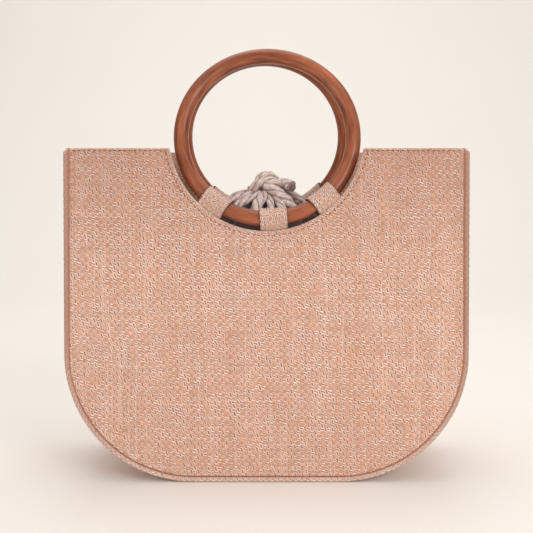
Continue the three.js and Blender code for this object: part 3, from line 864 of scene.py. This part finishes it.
def panelShell(face, form, seed):
    # columns in x and levels in z at a third of a cell; the levels of a column are cut off at the
    # outline, so the outer face ends exactly on it. The inner face has the same columns and few rows.
    inset = form["seamInset"]
    endX = bag["flatHalf"] + bag["cornerRadius"] - inset
    count = int((endX - form["sideBand"]) / stepAcross)
    middle = np.arange(-count, count + 1) * stepAcross
    band = np.linspace(count * stepAcross, endX, form["sideColumns"] + 1)[1:]
    x = np.concatenate([-band[::-1], middle, band])
    low, high = lowEdge(x, inset), highEdge(x, inset)
    levels = np.arange(int(bag["height"] / stepUp) + 2) * stepUp
    first = np.floor(low / stepUp).astype(int)
    last = np.maximum(np.ceil(high / stepUp).astype(int), first)
    last[[0, -1]] = first[[0, -1]]
    z = np.clip(levels[None, :], low[:, None], high[:, None])
    xx = np.broadcast_to(x[:, None], z.shape)
    seam, top = edgeDistance(xx, z, inset)
    near = np.clip(np.minimum(2 * seam, top) / form["edgeRoll"], 0.0, 1.0)
    roll = form["edgeRoll"] * (1 - np.sqrt(1 - (1 - near) ** 2))
    calm = np.clip(np.minimum(seam, top) / form["calm"], 0.0, 1.0)
    swellWide, swellTall = form["swellSize"]
    swell = form["swell"] * softNoise(xx / swellWide + form["swellStart"], z / swellTall, seed + 1) * calm
    hem = form["hemLift"] * (1 - smoothStep(top, form["hemWidth"], form["hemWidth"] + form["hemStep"]))
    relief = weaveRelief(*weavePlace(xx, z, seed), seed)
    y = panelStand(xx, z) + bag["wall"] / 2 + (relief + swell + hem) * near - roll
    outer = np.stack([xx, face["out"] * y, z], -1).reshape(-1, 3)
    rows, column = len(levels), np.arange(len(x))[:, None]
    number = column * rows + np.clip(np.arange(rows)[None, :], first[:, None], last[:, None])

    rowsIn = form["innerRows"] + 1
    zIn = low[:, None] + (high - low)[:, None] * np.linspace(0.0, 1.0, rowsIn)[None, :]
    xIn = np.broadcast_to(x[:, None], zIn.shape)
    yIn = panelStand(xIn, zIn) - bag["wall"] / 2
    inner = np.stack([xIn, face["out"] * yIn, zIn], -1).reshape(-1, 3)
    stops = np.full(len(x), rowsIn - 1)
    stops[[0, -1]] = 0
    numberIn = len(outer) + column * rowsIn + np.minimum(np.arange(rowsIn)[None, :], stops[:, None])
    edges = (np.s_[::-1, 0], np.s_[:, -1])
    rims = [cells(np.stack([number[edge], numberIn[edge]])) for edge in edges]
    corners = np.concatenate([cells(number)[:, [0, 3, 2, 1]], cells(numberIn), *rims])
    points = np.concatenate([outer, inner])
    seam, top = (np.concatenate([d.ravel(), np.full(len(inner), 1.0)]) for d in (seam, top))
    place = np.stack(weavePlace(points[:, 0], points[:, 2], seed), -1)
    shell = dict(points=points, corners=corners, uv=place[corners])
    return faceOut(shell), dict(seamDistance=seam, topDistance=top)


for seed, face in zip((11, 23), faces):
    shell, masks = panelShell(face, panelForm, seed)
    makePiece(face["name"] + "Panel", shell, panelStraw, "bag", (face["name"] + "_panel",), masks)
print("panels woven")

# Gusset

gussetForm = dict(
    inset=0.0012, dish=0.009, clear=0.0026, innerRows=6,
    swell=0.0006, swellSize=(0.05, 0.04), swellStart=50, calmEdge=0.2, calmEnd=0.02,
)


def gussetShell(form, seed):
    # a strip carried round the outline: its middle folds in by a parabola that grows up the sides
    half = outlineLength(form["inset"])
    s = np.linspace(-half, half, int(2 * half / stepAcross) + 1)
    rows = int(2 * (bag["panelOut"] - form["clear"]) / strawFinish["cellHeight"] * weaveForm["samples"])
    across = np.linspace(-1.0, 1.0, rows + 1)[None, :]
    outline = outlineAt(s, form["inset"])
    z = outline[1]
    y = across * (seamStand(z) - form["clear"])
    ss = np.broadcast_to(s[:, None], y.shape)
    calm = np.clip((1 - np.abs(across)) / form["calmEdge"], 0.0, 1.0)
    calm = calm * np.clip((half - np.abs(ss)) / form["calmEnd"], 0.0, 1.0)
    swellLong, swellWide = form["swellSize"]
    swell = form["swell"] * softNoise(ss / swellLong + form["swellStart"], y / swellWide, seed + 1) * calm
    place = weavePlace(ss, y, seed)
    dished = form["dish"] * smoothStep(z, bag["cornerRadius"] / 2, bag["height"]) * (1 - across ** 2)
    over = carryIn(outline, dished - weaveRelief(*place, seed) - swell, y)
    under = carryIn(outline, dished + bag["wall"], y)
    picks = np.unique(np.linspace(0, rows, form["innerRows"] + 1).astype(int))
    return slabShell(over, under, np.stack(place, -1), picks=picks)


makePiece("gussetStrip", gussetShell(gussetForm, 37), gussetStraw, "bag", ("gusset",))
print("gusset woven")

# Bindings and their seam

bindingForm = dict(
    width=0.004, depth=0.0046, squareness=0.62, relief=0.5, step=0.00095, sides=22,
    endRun=0.0015, endLeast=0.05,   # it rounds off over this run, to the root of this share
)
seamForm = dict(
    inset=0.00415, radius=0.00034, lift=0.0002, stitch=0.0045, pinch=0.3, endClear=0.001,
    step=0.0006, sides=8,
)


def bindingShell(face, form, seed):
    # a rounded bar carried round the outline; its section is a squared-off circle with weave on it
    half = outlineLength(0.0) - bag["cornerDrop"]
    s = np.linspace(-half, half, int(2 * half / form["step"]) + 1)
    turn = fullTurn(form["sides"])
    uv = uvGrid(s, turn * form["depth"] * 0.5)
    outline = outlineAt(s, 0.0)
    lift = weaveRelief(uv[:, :-1, 0], uv[:, :-1, 1], seed) * form["relief"]
    end = np.sqrt(np.clip((half - np.abs(s)) / form["endRun"], form["endLeast"], 1.0))[:, None]
    across, out = (squareOff(way(turn[:-1]), form["squareness"])[None, :] for way in (np.cos, np.sin))
    w = form["width"] / 2 - (form["width"] / 2 + lift) * across * end
    d = (form["depth"] / 2 + lift) * out * end
    return tubeShell(carryIn(outline, w, face["out"] * (seamStand(outline[1]) + d)), uv)


def seamShell(face, form):
    # a thread along the groove, pinched at the end of each stitch
    half = outlineLength(form["inset"]) - bag["cornerDrop"] - form["endClear"]
    s = np.linspace(-half, half, int(2 * half / form["step"]) + 1)
    turn = fullTurn(form["sides"])
    outline = outlineAt(s, form["inset"])
    fullness = np.sqrt(np.abs(np.sin(np.pi * s / form["stitch"])))
    r = form["radius"] * (1 - form["pinch"] + form["pinch"] * fullness)[:, None]
    w, d = r * np.cos(turn[:-1])[None, :], r * np.sin(turn[:-1])[None, :]
    y = seamStand(outline[1]) + bag["wall"] / 2 + form["lift"] + d
    return tubeShell(carryIn(outline, w, face["out"] * y), uvGrid(s, turn * form["radius"]))


for seed, face in zip((41, 43), faces):
    name = face["name"]
    binding = bindingShell(face, bindingForm, seed)
    makePiece(name + "Binding", binding, trimStraw, "bag", (name + "_binding",))
    makePiece(name + "SeamThread", seamShell(face, seamForm), seamThread, "bag")
print("bindings and seams made")

# Stitches along the top edges and the scoop

stitchForm = dict(
    pitch=0.0040, length=0.0021, radius=0.00036, lift=0.0001, rings=7, sides=6,
    topInset=0.0022, topClear=0.003, scoopInset=0.0036, scoopClear=0.004,
    taper=4, tip=0.02,   # how late it thins out, and the square of its tip's share
    apart=0.01,          # what its uv moves on from one stitch to the next
)


def stitchShell(face, form):
    # spindles: each lies along its row, thick in the middle and pointed at both ends
    run = float(sideReach(bag["height"], panelForm["seamInset"])) - halfMouth - 2 * form["topClear"]
    straight = halfMouth + form["topClear"] + np.arange(int(run / form["pitch"]) + 1) * form["pitch"]
    radius = bag["scoopRadius"] + form["scoopInset"]
    reach = scoopSpread - form["scoopClear"] / radius
    turn = np.linspace(-reach, reach, int(2 * reach * radius / form["pitch"]) + 1)
    topX = np.concatenate([-straight[::-1], straight])
    topZ = bag["height"] - endSink(topX) - form["topInset"]

    def rowOf(onTop, onScoop):   # one value for each stitch, the top's first
        return np.concatenate([onTop, onScoop])[:, None, None]

    x, z = rowOf(topX, radius * np.sin(turn)), rowOf(topZ, scoopZ - radius * np.cos(turn))
    alongX, alongZ = rowOf(np.ones(len(topX)), np.cos(turn)), rowOf(np.zeros(len(topX)), np.sin(turn))
    onHem = rowOf(np.ones(len(topX)), np.zeros(len(turn))) * panelForm["hemLift"]
    t = np.linspace(-1.0, 1.0, form["rings"])
    fat = form["radius"] * np.sqrt(np.maximum(1 - t ** form["taper"], form["tip"]))
    psi = fullTurn(form["sides"])
    along = (t * form["length"] / 2)[None, :, None]
    side, up = ((fat[:, None] * way(psi[:-1])[None, :])[None] for way in (np.cos, np.sin))
    px = x + alongX * along - alongZ * side
    pz = z + alongZ * along + alongX * side
    py = panelStand(px, pz) + bag["wall"] / 2 + form["lift"] + onHem + up
    points = np.stack([px, face["out"] * py, pz], -1)
    uv = uvGrid(t * form["length"] / 2, psi * form["radius"])
    return joinShells([tubeShell(p, uv + k * form["apart"]) for k, p in enumerate(points)])


for face in faces:
    makePiece(face["name"] + "EdgeStitches", stitchShell(face, stitchForm), stitchThread, "bag")
print("edges stitched")

# Rings

ringForm = dict(radius=0.070, tube=0.0062, steps=224, sides=40)


def ringFrame(face):
    # directions up the ring's plane and out of its front, and its middle
    out, lean = face["out"], face["ringLean"]
    up = np.array([0.0, -out * math.sin(lean), math.cos(lean)])
    front = np.array([0.0, out * math.cos(lean), math.sin(lean)])
    center = np.array([face["ringX"], out * face["ringOut"], face["ringZ"]]) + ringForm["radius"] * up
    return up, front, center


def ringShell(face, form):
    # a circle carried round a circle in the ring's leaning plane
    up, front, center = ringFrame(face)
    steps, sides = form["steps"], form["sides"]
    a, b = fullTurn(steps)[:-1, None, None], fullTurn(sides)[None, :-1, None]
    outward = np.sin(a) * np.array([1.0, 0.0, 0.0]) - np.cos(a) * up
    reach, rise = form["radius"] + form["tube"] * np.cos(b), form["tube"] * np.sin(b)
    points = center + reach * outward + rise * front
    uv = uvGrid(np.arange(steps + 1) / steps, np.arange(sides + 1) / sides)
    shell = gridShell(np.concatenate([points, points[:1]]), uv, wrap=True)
    shell["corners"] %= steps * sides
    shell["points"] = shell["points"][:steps * sides]
    return faceOut(shell)


for face in faces:
    name = face["name"] + "_ring"
    makePiece(face["name"] + "Ring", ringShell(face, ringForm), wood, name, (name,))
print("rings turned")

# Straps

strapForm = dict(
    width=0.0225, wall=0.0015, play=0.00055, tuck=0.009, layersGap=0.0002, clear=0.0003,
    columns=30, edgeCrowding=0.35, step=0.00095, bowSteps=60, legStart=0.8,
    fold=10, foldLeast=0.06,   # how late it thins towards its folded edges, and to what square share
    relief=0.8, reliefFade=6,
)
straps = (("left", math.radians(-36.0)), ("center", math.radians(4.0)), ("right", math.radians(40.0)))
strapTones = dict(
    # deep is dark for the painted shade along the strap's folded edges, and it tints the weave's dark
    # flecks too
    pale=tone(255, 236, 222), middle=tone(210, 165, 144), deep=tone(98, 60, 46),
    warm=tone(216, 160, 134), cool=tone(210, 176, 160),
)
strapStraw = makeStraw("strapStraw", strapTones, fine=True, halfWidth=strapForm["width"] / 2)


def strapFrame(face, angle):
    # out from the ring's middle, out of its front, along the ring, and the place on the ring
    up, front, center = ringFrame(face)
    outward = np.array([math.sin(angle), 0.0, 0.0]) - math.cos(angle) * up
    return outward, front, np.cross(outward, front), center + ringForm["radius"] * outward


def strapPath(face, angle, form):
    # the middle line of the strap in its section's plane: up one leg, round the ring, down the other
    outward, front, _, middle = strapFrame(face, angle)
    tabHalf = form["wall"] + form["layersGap"] / 2

    def toPanel(reach):   # brings a point to the panel's inner face
        point = middle + outward * reach
        inner = float(panelStand(point[0], point[2])) - bag["wall"] / 2
        return (face["out"] * (inner - form["clear"] - tabHalf) - point[1]) / front[1]

    reach = ringForm["tube"]
    for _ in range(6):   # steps towards the scoop's circle
        point = middle + outward * reach + front * toPanel(reach)
        reach += bag["scoopRadius"] - math.hypot(point[0], point[2] - scoopZ)
    meet, end = (np.array([r, toPanel(r)]) for r in (reach, reach + form["tuck"]))
    way = unit(end - meet)
    off = np.array([-way[1], way[0]]) * (form["wall"] + form["layersGap"]) / 2
    r = ringForm["tube"] + form["play"] + form["wall"] / 2
    over, under = meet + off, meet - off
    start = math.atan2(over[1], over[0]) + math.acos(r / np.linalg.norm(over))
    stop = math.atan2(under[1], under[0]) - math.acos(r / np.linalg.norm(under)) + 2 * math.pi
    turn = np.linspace(start, stop, form["bowSteps"])
    bow = r * np.stack([np.cos(turn), np.sin(turn)], 1)
    line, s = evenWalk(np.concatenate([[end + off, over], bow, [under, end - off]]), form["step"])
    return line, s, reach


def strapShell(face, angle, form, seed):
    # a band of straw along that line, thinner at its folded edges, bent across to follow the ring;
    # its legs twist until they lie flat behind the panel
    outward, front, along, middle = strapFrame(face, angle)
    line, s, reach = strapPath(face, angle, form)
    tangent = unit(np.gradient(line, axis=0))
    even = np.linspace(-1, 1, form["columns"] + 1)
    w = np.sin(even * np.pi / 2) * form["edgeCrowding"] + even * (1 - form["edgeCrowding"])
    half = form["width"] / 2
    thick = form["wall"] / 2 * np.sqrt(np.maximum(1 - np.abs(w) ** form["fold"], form["foldLeast"]))
    bend = ringForm["radius"] - np.sqrt(ringForm["radius"] ** 2 - (w * half) ** 2)
    twist = along[1] / front[1]
    leg = smoothStep(line[:, 0], form["legStart"] * ringForm["tube"], reach)
    uv = uvGrid(s, w * half)
    ww = uv[..., 1]
    relief = weaveRelief(uv[..., 0], ww, seed) * form["relief"] * (1 - np.abs(w) ** form["reliefFade"])

    def layer(lift):   # the band's surface at a height over its middle line
        a = line[:, :1] + tangent[:, 1:] * lift - bend
        b = line[:, 1:] - tangent[:, :1] * lift - twist * ww * leg[:, None]
        return middle + a[..., None] * outward + b[..., None] * front + ww[..., None] * along

    return slabShell(layer(thick + relief), layer(-thick), uv)


for face in faces:
    for seed, (name, angle) in enumerate(straps):
        makePiece(
            face["name"] + "Strap" + name.capitalize(), strapShell(face, angle, strapForm, 51 + seed),
            strapStraw, "bag", (f"{face['name']}_loop_{name}",),
        )
print("straps looped")

# Lining collar

collarForm = dict(
    rows=(   # reach from the knot, height and depth of the pleats, from the hem in
        (1.00, 0.1820, 0.0), (0.86, 0.1900, 0.0012), (0.70, 0.2005, 0.0024),
        (0.52, 0.2125, 0.0032), (0.32, 0.2212, 0.0028), (0.13, 0.2290, 0.0012),
    ),
    halfWidth=0.066, hemClear=0.0003, squareness=4.0, sideLift=0.024, pleats=16,
    pleatShift=((0.09, 3, 0.8), (0.06, 5, 2.1)),    # waves round it: size, number and start
    pleatDepth=((0.35, 2, 1.0), (0.25, 7, 0.0)),
    gather=0.0007, gatherFrom=0.45, gatherStart=1.5,
    wall=0.0012, columns=384, steps=44, knotY=-0.004,
    slope=0.075, fullness=1.8,                      # its uv up the slope, and round it by the girth
)


def collarShell(form):
    # a tent from a rounded-rectangle hem to the drawn mouth; its pleats are waves round it,
    # uneven in width and depth, with finer gathers towards the mouth
    turn = fullTurn(form["columns"])[None, :-1]
    part = np.linspace(0.0, 1.0, form["steps"] + 1)
    rows = np.array(form["rows"])
    reach, z, pleat = smoothCurve(rows, part * (len(rows) - 1)).T[..., None]
    halfDepth = float(panelStand(0.0, form["rows"][0][1])) - bag["wall"] / 2 - form["hemClear"]

    def waves(table):   # sines round the collar, added up
        return sum(size * np.sin(number * turn + start) for size, number, start in table)

    bent = turn + waves(form["pleatShift"])
    fold = (1 - np.cos(form["pleats"] * bent)) / 2
    fine = (1 - np.cos(3 * form["pleats"] * bent + form["gatherStart"])) / 2
    gather = form["gather"] * smoothStep(part, form["gatherFrom"], 1.0)[:, None] * fine
    lift = form["sideLift"] * np.cos(turn) ** 4 * (1 - part)[:, None]
    across, deep = (squareOff(way(turn), 2 / form["squareness"]) for way in (np.cos, np.sin))
    x = form["halfWidth"] * across * reach
    y = form["knotY"] * (1 - reach) + halfDepth * deep * reach
    over = np.stack([x, y, z + lift - pleat * fold * (1 + waves(form["pleatDepth"])) - gather], -1)
    around = np.roll(over, -1, 1) - np.roll(over, 1, 1)
    normal = unit(np.cross(around, np.gradient(over, axis=0)))
    normal *= np.where(normal[..., 2:] < 0, -1.0, 1.0)
    girth = 2 * (form["halfWidth"] + halfDepth) * form["fullness"]
    uv = uvGrid(part * form["slope"], np.arange(form["columns"] + 1) / form["columns"] * girth)
    return slabShell(over, over - normal * form["wall"], uv, wrap=True), over


collarSurface, collarTop = collarShell(collarForm)
collar = makePiece("liningCollar", collarSurface, lining, "bag", ("lining_collar",))
print("collar gathered")

# Drawstring

ropeForm = dict(
    pitch=0.034, plies=3, groove=0.26, grooveWidth=0.8,
    sides=36, step=0.0007, leastSteps=8, curveSteps=40,
    lumps=0.12, lumpSize=0.0032, lumpsRound=0.8, lumpsApart=9,   # unlike on each rope
)
knotForm = dict(
    heart=(0.0, -0.005, 0.2395), core=(0.0076, 0.0062, 0.0066), coreRings=16, coreSides=24, coreTip=0.02,
    strands=(   # radius, its start in the knot, where it comes down on the collar, and how far it bows up
        (0.0027, (-0.0085, -0.0065, 0.2352), (-0.041, -0.003), 0.0045),
        (0.0033, (-0.0060, -0.0095, 0.2345), (-0.033, -0.016), 0.0012),
        (0.0035, (-0.0040, -0.0115, 0.2335), (-0.024, -0.024), 0.0008),
        (0.0043, (-0.0010, -0.0115, 0.2335), (-0.0085, -0.028), 0.0012),
        (0.0032, (0.0025, -0.0100, 0.2330), (0.0035, -0.0285), 0.0008),
        (0.0033, (0.0050, -0.0100, 0.2340), (0.0125, -0.0260), 0.0010),
        (0.0043, (-0.0010, -0.0145, 0.2415), (0.0190, -0.022), 0.0014),
        (0.0025, (0.0080, -0.0060, 0.2375), (0.030, -0.012), 0.0030),
        (0.0036, (0.0050, 0.0000, 0.2360), (0.026, 0.013), 0.0015),
        (0.0036, (0.0020, 0.0010, 0.2360), (0.009, 0.022), 0.0015),
        (0.0036, (-0.0020, 0.0010, 0.2360), (-0.009, 0.022), 0.0015),
        (0.0036, (-0.0050, 0.0000, 0.2360), (-0.027, 0.014), 0.0015),
    ),
    bowAt=0.5, slope=math.radians(38.0), clear=0.0003, near=0.004,
    dive=0.007, divePast=0.7,   # how far an end goes down into the collar, and on by this share
    loops=(   # radius, then the points of each loop round the knot
        (0.0039, (
            (-0.0075, -0.0060, 0.2360), (-0.0066, -0.0066, 0.2438), (-0.0020, -0.0068, 0.2487),
            (0.0035, -0.0064, 0.2482), (0.0078, -0.0056, 0.2440), (0.0090, -0.0040, 0.2375),
        )),
        (0.0037, (
            (-0.0135, -0.0080, 0.2368), (-0.0108, -0.0120, 0.2388), (-0.0062, -0.0146, 0.2420),
            (-0.0005, -0.0150, 0.2440), (0.0052, -0.0132, 0.2438), (0.0098, -0.0095, 0.2412),
            (0.0125, -0.0045, 0.2375),
        )),
    ),
    stub=(0.0047, ((0.0070, -0.0040, 0.2405), (0.0155, -0.0085, 0.2420), (0.0212, -0.0180, 0.2400))),
    cutRim=0.65,                                            # how much of the cut's dark its rim has
    strandStart=0.0031, loopStart=0.002, stubStart=0.001,   # how far along the lay each one starts
    hairs=90, hairLength=(0.0008, 0.0024), hairLean=(0.3, 1.2),
    hairRadius=0.00005, hairTaper=0.7, hairDroop=0.25, hairsApart=0.003, hairSides=3, hairSteps=4,
)


def ropeShell(points, reference, radius, start=0.0):
    # three plies: a round section, a little lumpy along the path, with three shallow grooves
    # that turn once in each pitch; the section's middle line and tangents are kept for the hairs
    points = np.array(points, float)
    place = np.linspace(0.0, len(points) - 1.0, ropeForm["curveSteps"] * (len(points) - 1) + 1)
    line, s = evenWalk(smoothCurve(points, place), ropeForm["step"], ropeForm["leastSteps"])
    tangent = unit(np.gradient(line, axis=0))
    side = unit(np.cross(tangent, np.array(reference)))
    lift = np.cross(side, tangent)
    turn = fullTurn(ropeForm["sides"])[None, :-1]
    along = s[:, None]
    lay = turn - 2 * np.pi * (along + start) / ropeForm["pitch"]
    lumpPlace = (along + ropeForm["lumpsApart"] * start) / ropeForm["lumpSize"]
    lumps = 1 + ropeForm["lumps"] * softNoise(lumpPlace, turn * ropeForm["lumpsRound"], 71)
    dip = 1 - np.abs(np.cos(ropeForm["plies"] / 2 * lay)) ** ropeForm["grooveWidth"]
    r = (radius * lumps * (1 - ropeForm["groove"] * dip))[..., None]
    spoke = np.cos(turn)[..., None] * side[:, None] + np.sin(turn)[..., None] * lift[:, None]
    rings = line[:, None] + r * spoke
    closing = np.concatenate([lay, lay[:, :1] + 2 * np.pi], 1) / (2 * np.pi)
    uv = np.stack([np.broadcast_to(along + start, closing.shape), closing], -1)
    return tubeShell(rings, uv), rings, line, tangent


def coreShell(form):
    # the lump inside the knot: an egg, ring by ring from one end to the other
    wide, deep, tall = form["core"]
    a = np.linspace(form["coreTip"], np.pi - form["coreTip"], form["coreRings"])
    turn = fullTurn(form["coreSides"])
    b, fat = turn[None, :-1], np.sin(a)[:, None]
    x = np.broadcast_to(wide * np.cos(a)[:, None], (len(a), form["coreSides"]))
    points = np.stack([x, deep * fat * np.cos(b), tall * fat * np.sin(b)], -1)
    return tubeShell(points + np.array(form["heart"]), uvGrid(-wide * np.cos(a), turn / (2 * np.pi)))


def hairShells(points, line, tangent, form, rng):
    # loose fibres: thin cones that leave the rope outwards and bend along it
    count = form["hairs"]
    row = rng.integers(1, len(points) - 1, count)
    root = points[row, rng.integers(0, points.shape[1], count)]
    out = unit(root - line[row])
    along = tangent[row] * rng.choice([-1.0, 1.0], count)[:, None]
    long = rng.uniform(*form["hairLength"], count)[:, None, None]
    lean = rng.uniform(*form["hairLean"], count)[:, None, None]
    t = np.linspace(0.0, 1.0, form["hairSteps"])[None, :, None]
    rise, drift = t - form["hairDroop"] * t * t, lean * t * t
    middle = root[:, None] + long * (out[:, None] * rise + along[:, None] * drift)
    psi = fullTurn(form["hairSides"])[None, None, :-1, None]
    ring = np.cos(psi) * np.cross(out, along)[:, None, None] + np.sin(psi) * along[:, None, None]
    hairs = middle[:, :, None] + form["hairRadius"] * (1 - form["hairTaper"] * t)[..., None] * ring
    uv = np.zeros((form["hairSteps"], form["hairSides"] + 1, 2))
    return [tubeShell(hair, uv + k * form["hairsApart"]) for k, hair in enumerate(hairs)]


def collarHeight(x, y, near):
    # the height of the collar's crests near a point
    flat = collarTop.reshape(-1, 3)
    gap = np.hypot(flat[:, 0] - x, flat[:, 1] - y)
    return float(flat[gap < near, 2].max())


def drawstringShells(form):
    # strands that fan out, loops over the knot, its core and the hairs; the stub comes last
    upwards, sideways = np.array([0.0, 0.0, 1.0]), np.array([0.0, 1.0, 0.0])
    ropes = []
    for k, (radius, start, (x, y), bow) in enumerate(form["strands"]):
        start = np.array(start)
        height = collarHeight(x, y, form["near"]) + radius / math.cos(form["slope"]) + form["clear"]
        end = np.array([x, y, height])
        middle = start + (end - start) * form["bowAt"] + bow * upwards
        ahead = unit((end - start) * np.array([1.0, 1.0, 0.0]))
        past = end + ahead * form["dive"] * form["divePast"] - form["dive"] * upwards
        ropes.append(ropeShell([start, middle, end, past], upwards, radius, form["strandStart"] * k))
    for k, (radius, points) in enumerate(form["loops"]):
        ropes.append(ropeShell(points, sideways, radius, form["loopStart"] * k))
    radius, points = form["stub"]
    ropes.append(ropeShell(points, upwards, radius, form["stubStart"]))
    rng = np.random.default_rng(77)
    hairs = [hair for _, *parts in ropes for hair in hairShells(*parts, form, rng)]
    return [coreShell(form)] + hairs + [parts[0] for parts in ropes]


ropes = joinShells(drawstringShells(knotForm))
cut = np.zeros(len(ropes["points"]))
cut[-1] = 1.0   # the middle of the stub's cut end, and then the ring round it
cut[-2 - ropeForm["sides"]:-2] = knotForm["cutRim"]
makePiece("drawstringKnot", ropes, rope, "bag", ("drawstring",), dict(cutFace=cut))
print("drawstring tied")
